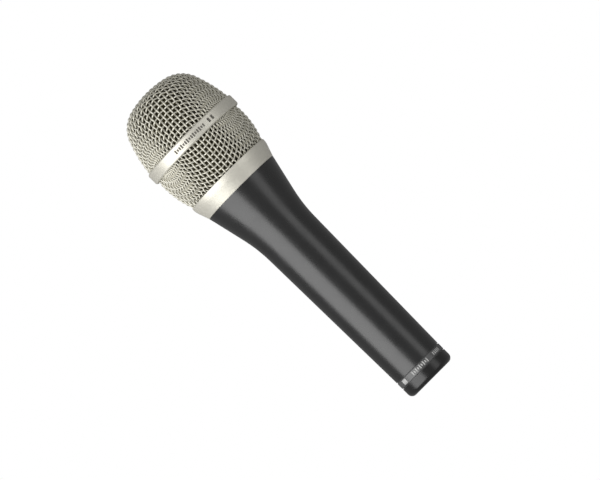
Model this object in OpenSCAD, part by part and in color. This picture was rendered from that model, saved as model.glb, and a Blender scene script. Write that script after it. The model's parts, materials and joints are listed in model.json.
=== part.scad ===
// Handheld dynamic microphone, standing on its tail, with its axis along +Z.
// Its origin is the centre of the tail face, and its dimensions are in millimetres.

/* [Handle] */
// Height of the head joint above the tail face
handle_l = 123.5; // [118:0.5:132]
// Outer diameter of the handle at the tail
tail_d = 26.3; // [26.2:0.1:26.8]
// Outer diameter where the grip turns into the flare
grip_d = 29.36; // [29:0.02:29.8]
// Outer diameter at the head joint
flare_d = 41; // [40.8:0.1:41.6]
// Height of the flared part under the head
flare_h = 25.2; // [24:0.2:27]
// Radius of the blend between the grip and the flare
flare_blend = 73; // [40:1:90]
// Wall thickness of the cast handle
handle_wall = 2.1; // [1.9:0.1:2.3]

/* [Head] */
// Height of the head above the head joint
head_h = 61.7; // [60.9:0.1:62.5]
// Outer diameter of the middle band
band_d = 52.8; // [52.4:0.1:53.6]
// Height of the middle band
band_h = 5.7; // [5.2:0.1:6.2]
// Thickness of the basket shells
basket_t = 1; // [0.8:0.1:1.2]
// Gap between a basket shell and its foam liner
foam_gap = 1; // [0.9:0.1:1.2]
// Thickness of the foam liners
foam_t = 3; // [2:0.1:3]

/* [Tail and connector] */
// Height of the end cap below the ring groove
cap_h = 5.8; // [5.5:0.1:6]
// Height of the identification ring
ring_h = 3.5; // [3:0.1:3.6]
// Width of the grooves on both sides of the ring
groove_w = 0.25; // [0.2:0.05:0.4]
// Diameter of the mouth that the plug enters
mouth_d = 16.5; // [16.4:0.1:16.8]
// Bore of the connector shell
socket_d = 16.1; // [15.9:0.1:16.3]
// Diameter of the contact pins
contact_d = 2.4; // [2.2:0.1:2.5]
// Height of the pin tips above the tail face
contact_z = 4.7; // [4.6:0.1:6]

/* [Capsule] */
// Diameter of the capsule frame
frame_d = 33; // [32.6:0.1:33.2]
// Diameter of the rear chamber
chamber_d = 20; // [19:0.5:21]
// Length of the rear chamber
chamber_l = 42; // [36:1:43]
// Diameter of the magnet
magnet_d = 17; // [15:0.5:17]
// Height of the magnet
magnet_h = 6; // [5.6:0.1:6.2]
// Inner diameter of the voice coil
coil_d = 18.4; // [18.2:0.1:18.5]
// Thickness of the voice coil winding
coil_t = 0.55; // [0.4:0.05:0.6]

/* [Clearance] */
// Radial clearance of the head thread
thread_gap = 0.15; // [0.1:0.01:0.2]
// Gap between the handle and the head's collar
joint_gap = 0.15; // [0.1:0.05:0.3]

/* [Hidden] */
$fn = 96;

// Tail and connector
cap_r = tail_d / 2 + 0.05;
spigot_r = 11;
spigot_top = 15.2;
groove_d = 0.5;
ring_z = cap_h + groove_w;
shell_z = ring_z + ring_h + groove_w;
step_z = 4.4;
shell_r = 9.6;
shell_top = 24.5;
insulator_z = 16;
insulator_t = 6;
contact_x = 3.6;
contact_y = 1.3;
contact_3_y = -3.8;
CONTACTS = [[-contact_x, contact_y], [contact_x, contact_y], [0, contact_3_y]];
contact_top = insulator_z + insulator_t;
cup_r = 1.5;
cup_top = contact_top + 6;
screw_z = 19.5;
screw_r = 1.3;
tag_inner = 7.4;
tag_t = 0.4;
tag_turn = -90;

// Handle
flare_z = handle_l - flare_h;
TAPER = [[tail_d / 2, shell_z], [grip_d / 2, flare_z], [flare_d / 2, handle_l]];
neck_r = 17.6;
neck_seat = handle_l - 6;
cavity_z = shell_top + 2;

// Head
thread_r = 18.6;
thread_top = handle_l + 6.5;
band_z = handle_l + 28.4;
head_top = handle_l + head_h;
rim_r = band_d / 2 - 1;
side_r = 72;
side_c = [band_d / 2 - 0.4 - side_r, handle_l + 26.3];
corner_r = 15;
top_r = 46;
top_c = [0, head_top - top_r];
lower_r = 40;
lower_c = [band_d / 2 - 1.05 - lower_r, handle_l + 24];
lower_z = handle_l + 7.5;
collar_top = handle_l + 8.9;
weave_depth = basket_t + foam_gap;

// Capsule
capsule_z = handle_l + 16.5;
chamber_z = capsule_z - chamber_l;
cup_floor = 2;
magnet_z = capsule_z + cup_floor;
pole_z = magnet_z + magnet_h;
pole_t = 2;
cup_r_outer = 13;
gap_r = coil_d / 2 + coil_t + 0.45;
plate_r = 14.5;
seat_z = capsule_z + 11.8;
film_t = 0.2;
frame_top = seat_z + 1.2;
cap_top = frame_top + 3.6;
dome_r = coil_d / 2;
surround_r = 15;
clamp_z = handle_l + 1;
tab_top = chamber_z - 1.2;
tab_x = 3.2;
tab_y = -1.5;

// Points on an arc about c from angle a0 to angle a1
function arc(c, r, a0, a1, n = 12) =
    [for (i = [0:n]) let (a = a0 + (a1 - a0) * i / n) c + r * [cos(a), sin(a)]];

// Corner b of the path a-b-c rounded to radius r
function fillet(a, b, c, r, n = 8) =
    let (
        u = (a - b) / norm(a - b),
        v = (c - b) / norm(c - b),
        half = acos(u * v) / 2,
        centre = b + (u + v) / norm(u + v) * r / sin(half),
        p = b + u * r / tan(half) - centre,
        q = b + v * r / tan(half) - centre,
        w = 180 - 2 * half
    )
    [for (i = [0:n]) centre + (sin(w * (1 - i / n)) * p + sin(w * i / n) * q) / sin(w)];

// The point on the +X side that lies ra from a and rb from b
function circles_meet(a, ra, b, rb) =
    let (
        d = norm(b - a),
        u = (b - a) / d,
        along = (ra * ra - rb * rb + d * d) / (2 * d),
        across = sqrt(ra * ra - along * along)
    )
    a + along * u + across * [u[1], -u[0]];

function reversed(points) = [for (i = [len(points) - 1:-1:0]) points[i]];

// Radius of the straight grip at height z
function grip_r(z) = tail_d / 2 + (grip_d - tail_d) / 2 * (z - shell_z) / (flare_z - shell_z);

// Radius of the flare at height z
function flare_r(z) = flare_d / 2 + (flare_d - grip_d) / 2 * (z - handle_l) / flare_h;

// Outline of the dome, inset by t, from radius r0 at its open edge up to the axis
function dome_line(t, r0) =
    let (
        corner_c = circles_meet(top_c, top_r - corner_r, side_c, side_r - corner_r),
        to_side = corner_c - side_c,
        to_top = corner_c - top_c,
        a_side = atan2(to_side[1], to_side[0]),
        a_top = atan2(to_top[1], to_top[0]),
        a_start = acos((r0 - side_c[0]) / (side_r - t))
    )
    concat(
        arc(side_c, side_r - t, a_start, a_side, 10),
        arc(corner_c, corner_r - t, a_side, a_top, 10),
        arc(top_c, top_r - t, a_top, 90, 10)
    );

// Outline of the lower basket, inset by t, between heights z0 and z1
function bowl_line(t, z0, z1) =
    let (r = lower_r - t)
    arc(lower_c, r, asin((z0 - lower_c[1]) / r), asin((z1 - lower_c[1]) / r), 12);

module turned(points) {
    rotate_extrude() polygon(points);
}

module ring(r_out, r_in, z0, z1) {
    turned([[r_in, z0], [r_out, z0], [r_out, z1], [r_in, z1]]);
}

module disc(r, z0, z1) {
    translate([0, 0, z0]) cylinder(r = r, h = z1 - z0);
}

function unit(v) = v / norm(v);

// A smooth path through points p, with n steps between each two
function smooth_path(p, n) =
    let (last = len(p) - 1)
    concat(
        [for (i = [0:last - 1]) for (j = [0:n - 1])
            let (t = j / n, a = p[max(i - 1, 0)], b = p[i], c = p[i + 1], d = p[min(i + 2, last)])
            0.5 * (2 * b + (c - a) * t + (2 * a - 5 * b + 4 * c - d) * t ^ 2
                + (3 * b - a - 3 * c + d) * t ^ 3)],
        [p[last]]
    );

// A wire of diameter d along a path that never runs along X
module wire(path, d, sides = 8) {
    last = len(path) - 1;
    points = [for (i = [0:last])
        let (
            along = unit(path[min(i + 1, last)] - path[max(i - 1, 0)]),
            u = unit(cross(along, [1, 0, 0])),
            v = cross(along, u)
        )
        for (k = [0:sides - 1])
            path[i] + d / 2 * (cos(360 * k / sides) * u + sin(360 * k / sides) * v)];
    walls = [for (i = [0:last - 1]) for (k = [0:sides - 1])
        let (next = (k + 1) % sides)
        [i * sides + k, (i + 1) * sides + k, (i + 1) * sides + next, i * sides + next]];
    ends = [[for (k = [0:sides - 1]) k], [for (k = [sides - 1:-1:0]) last * sides + k]];
    polyhedron(points, concat(walls, ends));
}

// Handle body

module handle_shell() {
    outer = concat(
        [TAPER[0]],
        fillet(TAPER[0], TAPER[1], TAPER[2], flare_blend),
        [TAPER[2]]
    );
    w = [handle_wall, 0];
    cavity = concat(
        [[grip_r(cavity_z), cavity_z] - w],
        fillet(TAPER[0] - w, TAPER[1] - w, TAPER[2] - w, flare_blend),
        [[flare_r(neck_seat) - handle_wall, neck_seat]]
    );
    bores = [
        [spigot_r, shell_z], [spigot_r, spigot_top],
        [shell_r, spigot_top], [shell_r, shell_top + 0.5],
    ];
    color("#44474b") difference() {
        turned(concat(outer, [[neck_r, handle_l], [neck_r, neck_seat]], reversed(cavity), reversed(bores)));
        translate([0, shell_r - 1, screw_z]) rotate([-90, 0, 0]) cylinder(r = screw_r, h = 6);
    }
}

module neck_ring() {
    bore_r = 15.2;
    seat_r = 17.1;
    chamfer = 0.5;
    color("#b9bcc0") turned([
        [bore_r, neck_seat], [neck_r, neck_seat], [neck_r, handle_l], [thread_r, handle_l],
        [thread_r, thread_top - chamfer], [thread_r - chamfer, thread_top], [seat_r, thread_top],
        [seat_r, clamp_z], [bore_r, clamp_z],
    ]);
}

module id_ring() {
    edge = 0.3;
    groove_r = cap_r - groove_d;
    color("#5a5d61") turned([
        [spigot_r, cap_h], [groove_r, cap_h], [groove_r, ring_z], [cap_r - edge, ring_z],
        [cap_r, ring_z + edge], [cap_r, ring_z + ring_h - edge], [cap_r - edge, ring_z + ring_h],
        [groove_r, ring_z + ring_h], [groove_r, shell_z], [spigot_r, shell_z],
    ]);
}

module end_cap() {
    face_r = 10.5;
    round_h = 2.6;
    mouth_edge = 0.4;
    edge = [for (a = [0:10:90])
        [face_r + (cap_r - face_r) * sin(a), round_h * (1 - cos(a))]];
    color("#1d1e20") turned(concat(
        [[mouth_d / 2, mouth_edge], [mouth_d / 2 + mouth_edge, 0]],
        edge,
        [[cap_r, cap_h], [spigot_r, cap_h], [spigot_r, spigot_top], [shell_r, spigot_top],
            [shell_r, step_z], [mouth_d / 2, step_z]]
    ));
}

module connector_shell() {
    notch_w = 4;
    notch_h = 6;
    color("#aeb2b6") difference() {
        ring(shell_r, socket_d / 2, step_z, shell_top);
        translate([-notch_w / 2, socket_d / 2 - 1, step_z - 1]) cube([notch_w, 3, notch_h + 1]);
    }
}

module connector_insulator() {
    key_w = 2;
    color("#17181a") difference() {
        disc(socket_d / 2, insulator_z, contact_top);
        for (p = CONTACTS) translate([p[0], p[1], insulator_z - 1])
            cylinder(r = cup_r, h = insulator_t + 2);
        translate([-key_w / 2, socket_d / 2 - 1, insulator_z - 1]) cube([key_w, 2, insulator_t + 2]);
    }
}

// Contact pin k with a rounded tip and a thicker root, which ends in a solder cup above the insulator
module contact(k) {
    r = contact_d / 2;
    tip = 0.6;
    root_z = insulator_z - 0.4;
    cup_bore = 0.95;
    cup_depth = 4;
    p = CONTACTS[k - 1];
    color("#d9c27a") translate([p[0], p[1], 0]) difference() {
        union() {
            turned(concat([[0, contact_z]], arc([r - tip, contact_z + tip], tip, -90, 0, 6),
                [[r, insulator_z], [0, insulator_z]]));
            disc(cup_r, root_z, cup_top);
        }
        disc(cup_bore, cup_top - cup_depth, cup_top + 1);
        translate([-cup_r, -2 * cup_r - 0.3, cup_top - cup_depth]) cube([2 * cup_r, 2 * cup_r, cup_depth + 1]);
    }
}

module contact_1() {
    contact(1);
}

module contact_2() {
    contact(2);
}

module contact_3() {
    contact(3);
}

// Flat spring that earths the shell of the plug, beside the latch notch
module ground_spring() {
    w = 1.6;
    t = 0.3;
    y = 7.55;
    z0 = step_z + 7;
    color("#c9a659") {
        translate([-w / 2, y, insulator_z - 0.5]) cube([w, t, insulator_t + 0.5]);
        translate([-w / 2, y - t, z0]) cube([w, t, insulator_z - z0]);
    }
}

// Solder tag for the earth lead on the rim of the connector shell, beside contact 1
module ground_tag() {
    w = 2.4;
    h = 4;
    foot_r = shell_r - 0.3;
    hole_z = 2.9;
    color("#d4d6d8") rotate(tag_turn) difference() {
        union() {
            translate([-w / 2, -foot_r, shell_top]) cube([w, foot_r - tag_inner, tag_t]);
            translate([-w / 2, -tag_inner, shell_top]) cube([w, tag_t, h]);
        }
        translate([0, -tag_inner - 1, shell_top + hole_z]) rotate([-90, 0, 0]) cylinder(r = 0.6, h = 3);
    }
}

module set_screw() {
    length = 3;
    socket_r = 0.75;
    socket_h = 1.3;
    color("#7d8185") translate([0, shell_r, screw_z]) rotate([-90, 0, 0]) difference() {
        cylinder(r = screw_r, h = length);
        translate([0, 0, length - socket_h]) cylinder(r = socket_r, h = 2 * socket_h, $fn = 6);
    }
}

lead_d = 1.2;
lead_z = cup_top + 0.1;
lead_end = tab_top - 5.1;
lead_rise = lead_end - lead_z;

// A lead from solder cup k, along one side of the handle, to the end of terminal tab x
module lead(k, side_x, tab_side) {
    p = CONTACTS[k - 1];
    route = [
        [p[0], p[1], lead_z], [p[0], p[1], lead_z + 3],
        [side_x * 0.8, -6.5, lead_z + 13], [side_x, -8.2, lead_z + 0.4 * lead_rise],
        [side_x * 0.7, -8.6, lead_z + 0.65 * lead_rise], [side_x, -6, lead_end - 9],
        [tab_side * tab_x, tab_y, lead_end - 3], [tab_side * tab_x, tab_y, lead_end],
    ];
    wire(smooth_path(route, 4), lead_d);
}

module lead_hot() {
    color("#b03a30") lead(2, 3.4, 1);
}

module lead_cold() {
    color("#31353a") lead(3, -3.4, -1);
}

// The earth lead, drawn with the solder tag on its -Y side and turned into place with it
module lead_ground() {
    pin = [-contact_y, -contact_x];
    tag_y = tag_t - tag_inner + lead_d / 2 + 0.1;
    route = [
        [pin[0], pin[1], lead_z], [pin[0], pin[1], lead_z + 1.6], [-0.9, pin[1] - 0.9, lead_z + 3],
        [-0.3, tag_y + 0.5, lead_z + 1.8], [0, tag_y, lead_z - 0.8],
    ];
    color("#3f7a4a") rotate(tag_turn) wire(smooth_path(route, 4), lead_d * 0.8);
}

// Rubber ring: a hub on the rear chamber and a thin fold out to the clamped rim
module shock_mount() {
    hub_r = chamber_d / 2 + 0.05;
    hub_t = 1.3;
    rim_in = 15.2;
    rim_out = 17.1;
    rim_h = 4;
    web_t = 0.9;
    fold_r = (rim_in - hub_r - hub_t) / 2;
    fold_c = [hub_r + hub_t + fold_r, clamp_z + 1.5];
    color("#26272a") turned(concat(
        [[hub_r, clamp_z - 4], [hub_r + hub_t, clamp_z - 4]],
        [[hub_r + hub_t, fold_c[1]]],
        arc(fold_c, fold_r - 0.01, 180, 360, 10),
        [[rim_in, clamp_z], [rim_out, clamp_z], [rim_out, clamp_z + rim_h], [rim_in, clamp_z + rim_h]],
        [[rim_in, fold_c[1] + web_t]],
        arc(fold_c + [0, web_t], fold_r - 0.01, 360, 180, 10),
        [[hub_r + hub_t, clamp_z + 6], [hub_r, clamp_z + 6]]
    ));
}

module mount_ring() {
    color("#9ea2a6") ring(17.1, 15.2, clamp_z + 4, thread_top - 0.3);
}

// Capsule body

module rear_chamber() {
    wall = 1.1;
    floor_t = 1.2;
    vent_r = 1.2;
    color("#303236") difference() {
        disc(chamber_d / 2, chamber_z, capsule_z);
        disc(chamber_d / 2 - wall, chamber_z + floor_t, capsule_z + 1);
        disc(vent_r, chamber_z - 1, chamber_z + floor_t + 1);
    }
}

// Felt disc that damps the air at the bottom of the rear chamber
module chamber_felt() {
    color("#6d6f72") disc(chamber_d / 2 - 1.1, chamber_z + 1.2, chamber_z + 3.2);
}

module terminal_board() {
    color("#3d6b4c") difference() {
        disc(7.4, tab_top, chamber_z);
        for (side = [-1, 1]) translate([side * tab_x - 0.9, tab_y - 0.3, tab_top - 1]) cube([1.8, 0.6, 4]);
        disc(1.2, tab_top - 1, chamber_z + 1);
    }
}

module terminal(side) {
    w = 1.8;
    t = 0.6;
    drop = 5;
    color("#d4d6d8") translate([side * tab_x, tab_y, 0]) difference() {
        translate([-w / 2, -t / 2, tab_top - drop]) cube([w, t, chamber_z - tab_top + drop]);
        translate([0, -t, tab_top - drop + 1.3]) rotate([-90, 0, 0]) cylinder(r = 0.5, h = 2 * t);
    }
}

module terminal_hot() {
    terminal(1);
}

module terminal_cold() {
    terminal(-1);
}

module magnet_cup() {
    color("#8d9094") difference() {
        disc(cup_r_outer, capsule_z, pole_z);
        disc(cup_r_outer - 1.8, magnet_z, pole_z + 1);
        disc(1.5, capsule_z - 1, magnet_z + 1);
    }
}

module magnet() {
    color("#55585c") ring(magnet_d / 2, 1.5, magnet_z, pole_z);
}

module pole_disc() {
    color("#a9acb0") ring(magnet_d / 2 + 0.2, 1.5, pole_z, pole_z + pole_t);
}

module pole_ring() {
    ports = 8;
    port_c = (cup_r_outer + plate_r) / 2;
    color("#a9acb0") difference() {
        ring(plate_r, gap_r, pole_z, pole_z + pole_t);
        for (i = [0:ports - 1]) rotate(360 * i / ports) translate([port_c, 0, pole_z - 1])
            cylinder(r = 0.55, h = pole_t + 2);
    }
}

module capsule_frame() {
    r = frame_d / 2;
    rim_seat = 16.05;
    color("#c4c6c8") turned([
        [plate_r, pole_z - 2], [r, pole_z - 2], [r, frame_top], [rim_seat, frame_top],
        [rim_seat, seat_z], [surround_r, seat_z], [surround_r, pole_z + pole_t],
        [plate_r, pole_z + pole_t],
    ]);
}

// Silk ring over the rear ports
module rear_port_cloth() {
    color("#4b4034") ring(frame_d / 2 - 0.2, cup_r_outer + 0.05, pole_z - 2.4, pole_z - 2);
}

// Perforated cap that clamps the diaphragm and tunes the air in front of it
module resonator_cap() {
    r = frame_d / 2;
    roof = 1.2;
    hole_r = 0.9;
    color("#d8dadc") difference() {
        turned([
            [0, cap_top], [0, cap_top - roof], [surround_r + 0.1, cap_top - roof],
            [surround_r + 0.1, seat_z + film_t], [16, seat_z + film_t], [16, frame_top],
            [r, frame_top], [r, cap_top - 0.6], [r - 0.6, cap_top],
        ]);
        for (circle_of = [[0, 1], [5, 6], [10, 12]]) for (i = [0:circle_of[1] - 1])
            rotate(360 * i / circle_of[1]) translate([circle_of[0], 0, cap_top - 2 * roof])
                cylinder(r = hole_r, h = 3 * roof);
    }
}

module front_cloth() {
    color("#3a3a3c") disc(14.5, cap_top, cap_top + 0.25);
}

// Thin film: a dome inside the voice coil, a rolled surround and a flat rim
module diaphragm() {
    rise = 2;
    dome_sphere = (dome_r * dome_r + rise * rise) / (2 * rise);
    half_angle = asin(dome_r / dome_sphere);
    dome_c = [0, seat_z + rise - dome_sphere];
    land_r = dome_r + coil_t + 0.1;
    roll_c = [(land_r + surround_r) / 2, seat_z];
    roll_r = (surround_r - land_r) / 2;
    roll_h = 0.9;
    crown = [for (a = [180:-15:0]) roll_c + [roll_r * cos(a), roll_h * sin(a)]];
    top = concat(
        arc(dome_c, dome_sphere, 90, 90 - half_angle, 10),
        crown,
        [[16, seat_z]]
    );
    lift = [0, film_t];
    color("#e8dcc0") turned(concat(top, [for (p = reversed(top)) p + lift]));
}

module voice_coil() {
    color("#b8682f") ring(dome_r + coil_t, dome_r, pole_z - 0.7, seat_z);
}

// Head

module collar() {
    lip_r = 22.85;
    lip_edge = 0.25;
    seat_in = 20.2;
    bore_r = thread_r + thread_gap;
    bore_edge = 0.4;
    z0 = handle_l + joint_gap;
    foot = [flare_d / 2 + 0.1, z0 + 0.25];
    shoulder = [lip_r, handle_l + 6.9];
    lip = [lip_r - lip_edge, collar_top - lip_edge];
    seat_out = bowl_line(-0.05, lower_z, collar_top);
    color("#b9b4aa") turned(concat(
        [[bore_r + bore_edge, z0], [foot[0] - 0.1, z0], foot],
        fillet(foot, shoulder, [lip_r, collar_top], 9),
        arc(lip, lip_edge, 0, 80, 5),
        reversed(seat_out),
        [[seat_in, lower_z], [seat_in, collar_top], [bore_r, collar_top], [bore_r, z0 + bore_edge]]
    ));
}

module lower_basket() {
    rim_z = band_z + 0.3;
    rim_top = band_z + band_h / 2 - 0.15;
    color("#a8a49b") turned(concat(
        bowl_line(0, lower_z, band_z),
        [[rim_r, rim_z], [rim_r, rim_top], [rim_r - basket_t, rim_top], [rim_r - basket_t, rim_z]],
        reversed(bowl_line(basket_t, lower_z, band_z - 0.3))
    ));
}

module mid_band() {
    r = band_d / 2;
    edge = 0.75;
    web_in = 24.1;
    web_z = band_z + band_h / 2;
    color("#bdb8ae") turned(concat(
        [[rim_r, band_z]],
        arc([r - edge, band_z + edge], edge, -90, 0, 5),
        arc([r - edge, band_z + band_h - edge], edge, 0, 90, 5),
        [[rim_r, band_z + band_h], [rim_r, web_z + 0.15], [web_in, web_z + 0.15],
            [web_in, web_z - 0.15], [rim_r, web_z - 0.15]]
    ));
}

module upper_basket() {
    rim_z = band_z + band_h / 2 + 0.15;
    color("#a8a49b") turned(concat(
        [[rim_r, rim_z]],
        dome_line(0, rim_r),
        reversed(dome_line(basket_t, rim_r - basket_t)),
        [[rim_r - basket_t, rim_z]]
    ));
}

module lower_foam() {
    z0 = collar_top + 0.5;
    z1 = band_z;
    color("#2e2b26") turned(concat(
        bowl_line(weave_depth, z0, z1),
        reversed(bowl_line(weave_depth + foam_t, z0, z1))
    ));
}

module upper_foam() {
    edge_r = rim_r - weave_depth - 0.3;
    z0 = band_z + band_h - 0.6;
    color("#2e2b26") turned(concat(
        [[edge_r, z0]],
        dome_line(weave_depth, edge_r),
        reversed(dome_line(weave_depth + foam_t, edge_r - foam_t)),
        [[edge_r - foam_t, z0]]
    ));
}

handle_shell();
neck_ring();
id_ring();
end_cap();
connector_shell();
connector_insulator();
contact_1();
contact_2();
contact_3();
ground_spring();
ground_tag();
set_screw();
lead_hot();
lead_cold();
lead_ground();
shock_mount();
mount_ring();
rear_chamber();
chamber_felt();
terminal_board();
terminal_hot();
terminal_cold();
magnet_cup();
magnet();
pole_disc();
pole_ring();
capsule_frame();
rear_port_cloth();
resonator_cap();
front_cloth();
diaphragm();
voice_coil();
collar();
lower_basket();
mid_band();
upper_basket();
lower_foam();
upper_foam();
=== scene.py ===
"""Handheld dynamic microphone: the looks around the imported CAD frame. Units are metres."""

import json
import math

import bmesh
import bpy
import numpy as np
from mathutils import Matrix, Vector, noise

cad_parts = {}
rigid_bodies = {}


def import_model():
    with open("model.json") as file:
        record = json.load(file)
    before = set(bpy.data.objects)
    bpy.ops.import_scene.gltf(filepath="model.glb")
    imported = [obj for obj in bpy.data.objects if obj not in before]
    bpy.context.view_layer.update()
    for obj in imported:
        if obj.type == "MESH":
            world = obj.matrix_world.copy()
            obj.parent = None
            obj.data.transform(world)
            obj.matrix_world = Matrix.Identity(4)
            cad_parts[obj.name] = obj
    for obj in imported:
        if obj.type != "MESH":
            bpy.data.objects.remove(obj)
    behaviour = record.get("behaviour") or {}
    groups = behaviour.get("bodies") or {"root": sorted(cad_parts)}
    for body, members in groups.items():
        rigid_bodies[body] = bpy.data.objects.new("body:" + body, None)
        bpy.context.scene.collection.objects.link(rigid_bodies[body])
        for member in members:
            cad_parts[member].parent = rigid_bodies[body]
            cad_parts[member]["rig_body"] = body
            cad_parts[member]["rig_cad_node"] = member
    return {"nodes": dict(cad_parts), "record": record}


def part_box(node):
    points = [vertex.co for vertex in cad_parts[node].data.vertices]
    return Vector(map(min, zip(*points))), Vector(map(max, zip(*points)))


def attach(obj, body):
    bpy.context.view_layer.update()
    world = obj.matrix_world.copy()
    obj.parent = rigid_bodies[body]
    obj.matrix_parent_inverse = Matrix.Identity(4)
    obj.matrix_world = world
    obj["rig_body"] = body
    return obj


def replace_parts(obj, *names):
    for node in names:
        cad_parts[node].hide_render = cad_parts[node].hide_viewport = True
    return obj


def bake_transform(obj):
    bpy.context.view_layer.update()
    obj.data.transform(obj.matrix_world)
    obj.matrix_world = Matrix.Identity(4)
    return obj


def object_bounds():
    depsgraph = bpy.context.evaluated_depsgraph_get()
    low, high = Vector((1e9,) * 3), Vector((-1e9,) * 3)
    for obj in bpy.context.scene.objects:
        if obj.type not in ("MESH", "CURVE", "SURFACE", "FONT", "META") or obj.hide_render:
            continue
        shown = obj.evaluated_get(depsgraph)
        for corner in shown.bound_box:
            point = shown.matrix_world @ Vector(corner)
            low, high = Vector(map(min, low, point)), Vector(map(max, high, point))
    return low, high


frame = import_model()
cad_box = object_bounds()
nodes = frame["nodes"]

MM = 0.001
TINY = 1e-9  # keeps a division from meeting zero
HEIGHT = cad_box[1].z
CREASE = 40.0  # degrees

# The woven wire: its radius, the distance between neighbours, the crossings on each side of a net's middle,
# and how far the crossings move from the draped net towards the flat one
WIRE_R = 0.42 * MM
PITCH = 2.4 * MM
NET_SIDE = 26
NET_STRETCH = 0.3
RIM_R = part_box("upper_basket")[1].x

# The rim of the shock mount, between the neck ring's step and the mount ring
CLAMPED_WIDTH = 1.9 * MM
CLAMPED_HEIGHT = 4 * MM


# ---------------------------------------------------------------- meshes


def add_mesh(name, verts, faces, body, look, slot):
    """A new piece made of points and faces, riding on a body, or on none."""
    mesh = bpy.data.meshes.new(name)
    mesh.from_pydata([tuple(v) for v in verts], [], [tuple(int(i) for i in f) for f in faces])
    mesh.validate()
    mesh.shade_smooth()
    mesh.materials.append(look)
    piece = bpy.data.objects.new(name, mesh)
    bpy.context.scene.collection.objects.link(piece)
    if body:
        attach(piece, body)
    return piece


def polar(radius, degrees):
    """A flat place from its distance and its bearing."""
    a = math.radians(degrees)
    return np.array([radius * math.cos(a), radius * math.sin(a)])


def arc(centre, radius, start, end, steps=24):
    """Points (r, z) on an arc, with its angles in degrees."""
    angles = np.radians(np.linspace(start, end, steps + 1))
    return np.stack([centre[0] + radius * np.cos(angles), centre[1] + radius * np.sin(angles)], 1)


def rounded(corners, radius, steps=4):
    """A closed outline with its corners rounded off."""
    corners = np.asarray(corners, float)
    t = np.linspace(0, 1, steps + 1)[:, None]
    out = []
    for k, b in enumerate(corners):
        a, c = corners[k - 1], corners[(k + 1) % len(corners)]
        p = b + radius * (a - b) / np.linalg.norm(a - b)
        q = b + radius * (c - b) / np.linalg.norm(c - b)
        out.append((1 - t) ** 2 * p + 2 * t * (1 - t) * b + t**2 * q)
    return np.concatenate(out)


def resampled(line, step):
    """An open line again, with points about step apart."""
    along = np.r_[0, np.cumsum(np.linalg.norm(np.diff(line, axis=0), axis=1))]
    at = np.linspace(0, along[-1], int(along[-1] / step) + 2)
    return np.stack([np.interp(at, along, line[:, i]) for i in (0, 1)], 1)


def lathe(outline, segments=144, start=0.0, turn=360.0, closed=True):
    """Points and faces of an outline (r, z) turned about the axis, with capped ends if it isn't a full turn.
    An outline that isn't closed starts and ends on the axis."""
    outline = np.asarray(outline, float)
    full = turn >= 360
    count = segments if full else segments + 1
    angles = np.radians(start + turn * np.arange(count) / segments)
    r, z = outline[:, 0], outline[:, 1]
    rings = [np.stack([r * math.cos(a), r * math.sin(a), z], 1) for a in angles]
    n = len(outline)
    spans = n if closed else n - 1
    faces = []
    for i in range(segments):
        a, b = i * n, (i + 1) % count * n
        faces += [(a + k, b + k, b + (k + 1) % n, a + (k + 1) % n) for k in range(spans)]
    if not full:
        faces += [tuple(range(n - 1, -1, -1)), tuple(range((count - 1) * n, count * n))]
    return np.concatenate(rings), faces


def weld(piece):
    """Points in one place become one, faces turn outwards, and edges sharper than CREASE stay crisp."""
    work = bmesh.new()
    work.from_mesh(piece.data)
    bmesh.ops.remove_doubles(work, verts=work.verts, dist=1e-3 * MM)
    bmesh.ops.recalc_face_normals(work, faces=work.faces)
    work.to_mesh(piece.data)
    work.free()
    piece.data.shade_smooth()
    piece.data.set_sharp_from_angle(angle=math.radians(CREASE))


def spun(name, outline, body, look, slot, shape=None, **turning):
    """A turned piece. shape moves its points, and turning goes to lathe()."""
    verts, faces = lathe(outline, **turning)
    if shape:
        verts = shape(verts)
    piece = add_mesh(name, verts, faces, body, look, slot)
    weld(piece)
    return piece


def tube(path, normals, radius, sides=6):
    """Points and faces of a round wire along a path; normals keep its rings from twisting."""
    along = np.gradient(path, axis=0)
    along /= np.linalg.norm(along, axis=1)[:, None]
    across = np.cross(along, normals)
    across /= np.linalg.norm(across, axis=1)[:, None]
    up = np.cross(across, along)
    angles = 2 * math.pi * np.arange(sides) / sides
    rings = [path + radius * (math.cos(a) * across + math.sin(a) * up) for a in angles]
    verts = np.stack(rings, 1).reshape(-1, 3)
    faces = []
    for i in range(len(path) - 1):
        for k in range(sides):
            j = (k + 1) % sides
            faces.append((i * sides + k, i * sides + j, (i + 1) * sides + j, (i + 1) * sides + k))
    last = (len(path) - 1) * sides
    faces += [tuple(range(sides - 1, -1, -1)), tuple(range(last, last + sides))]
    return verts, faces


def joined(parts):
    """Several (points, faces) as one."""
    verts, faces, base = [], [], 0
    for v, f in parts:
        verts.append(v)
        faces += [tuple(base + i for i in face) for face in f]
        base += len(v)
    return np.concatenate(verts), faces


# ---------------------------------------------------------------- materials


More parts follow.
